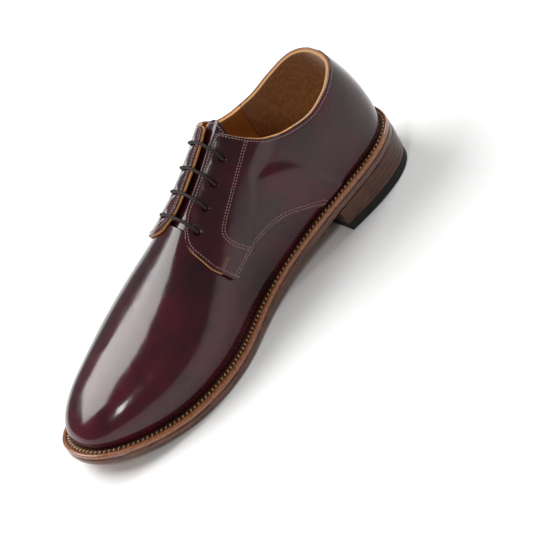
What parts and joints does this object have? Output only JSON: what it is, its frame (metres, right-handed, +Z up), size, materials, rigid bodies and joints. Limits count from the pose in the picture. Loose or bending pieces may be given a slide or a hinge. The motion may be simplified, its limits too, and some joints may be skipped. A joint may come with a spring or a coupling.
{
  "type": "derby shoe",
  "caption": "Plain-toe lace-up leather derby shoe, right foot, with a welted leather sole and a stacked heel.",
  "frame": {"origin": "middle of the bounding box in plan, on the ground the shoe stands on", "axes": "+Y from toe to heel, +X to the inner (medial) side, +Z up"},
  "size_m": [0.1068, 0.3008, 0.1186],
  "materials": {
    "upper_leather": "polished oxblood calf, high gloss",
    "lining_leather": "smooth tan lining leather, satin",
    "heel_suede": "brown suede, matt",
    "canvas": "stiffened woven backing",
    "insole_leather": "undyed vegetable-tanned leather",
    "welt_leather": "brown edge-dressed welt, waxed",
    "sole_leather": "brown edge-dressed sole leather, waxed",
    "heel_leather": "stacked dark brown leather, waxed",
    "rubber": "black heel rubber, matt",
    "cork": "ground cork filler",
    "steel": "plain steel",
    "eyelet_metal": "plain brass, hidden",
    "lace_cord": "round waxed cotton, dark brown",
    "lace_tip": "moulded tip"
  },
  "bodies": {
    "shoe": {"vamp": "upper_leather", "vamp_lining": "lining_leather", "vamp_interlining": "canvas", "toe_puff": "canvas", "heel_counter": "canvas", "heel_grip": "heel_suede", "insole": "insole_leather", "sock_lining": "lining_leather", "insole_rib": "canvas", "cork_filler": "cork", "welt": "welt_leather", "outsole": "sole_leather", "shank": "steel", "top_lift": "rubber", "lace": "lace_cord", "lace_tip_1": "lace_tip", "lace_tip_2": "lace_tip", "quarter_medial": "upper_leather", "facing_stay_medial": "canvas", "facing_lining_medial": "lining_leather", "quarter_lining_medial": "lining_leather", "blind_eyelet_medial_1": "eyelet_metal", "blind_eyelet_medial_2": "eyelet_metal", "blind_eyelet_medial_3": "eyelet_metal", "blind_eyelet_medial_4": "eyelet_metal", "quarter_lateral": "upper_leather", "facing_stay_lateral": "canvas", "facing_lining_lateral": "lining_leather", "quarter_lining_lateral": "lining_leather", "blind_eyelet_lateral_1": "eyelet_metal", "blind_eyelet_lateral_2": "eyelet_metal", "blind_eyelet_lateral_3": "eyelet_metal", "blind_eyelet_lateral_4": "eyelet_metal", "heel_lift_1": "heel_leather", "heel_lift_2": "heel_leather", "heel_lift_3": "heel_leather", "heel_lift_4": "heel_leather", "heel_nail_1": "steel", "heel_nail_2": "steel", "heel_nail_3": "steel", "heel_nail_4": "steel", "heel_nail_5": "steel"},
    "tongue": {"tongue": "upper_leather", "tongue_lining": "lining_leather"}
  },
  "joints": [
    {"name": "tongue_hinge", "type": "hinge", "parent": "shoe", "child": "tongue", "pos_m": [0, -0.01592, 0.068], "axis": [1, 0, 0], "range_deg": [-14, 0], "stiffness_Nm_per_rad": 0.05}
  ]
}
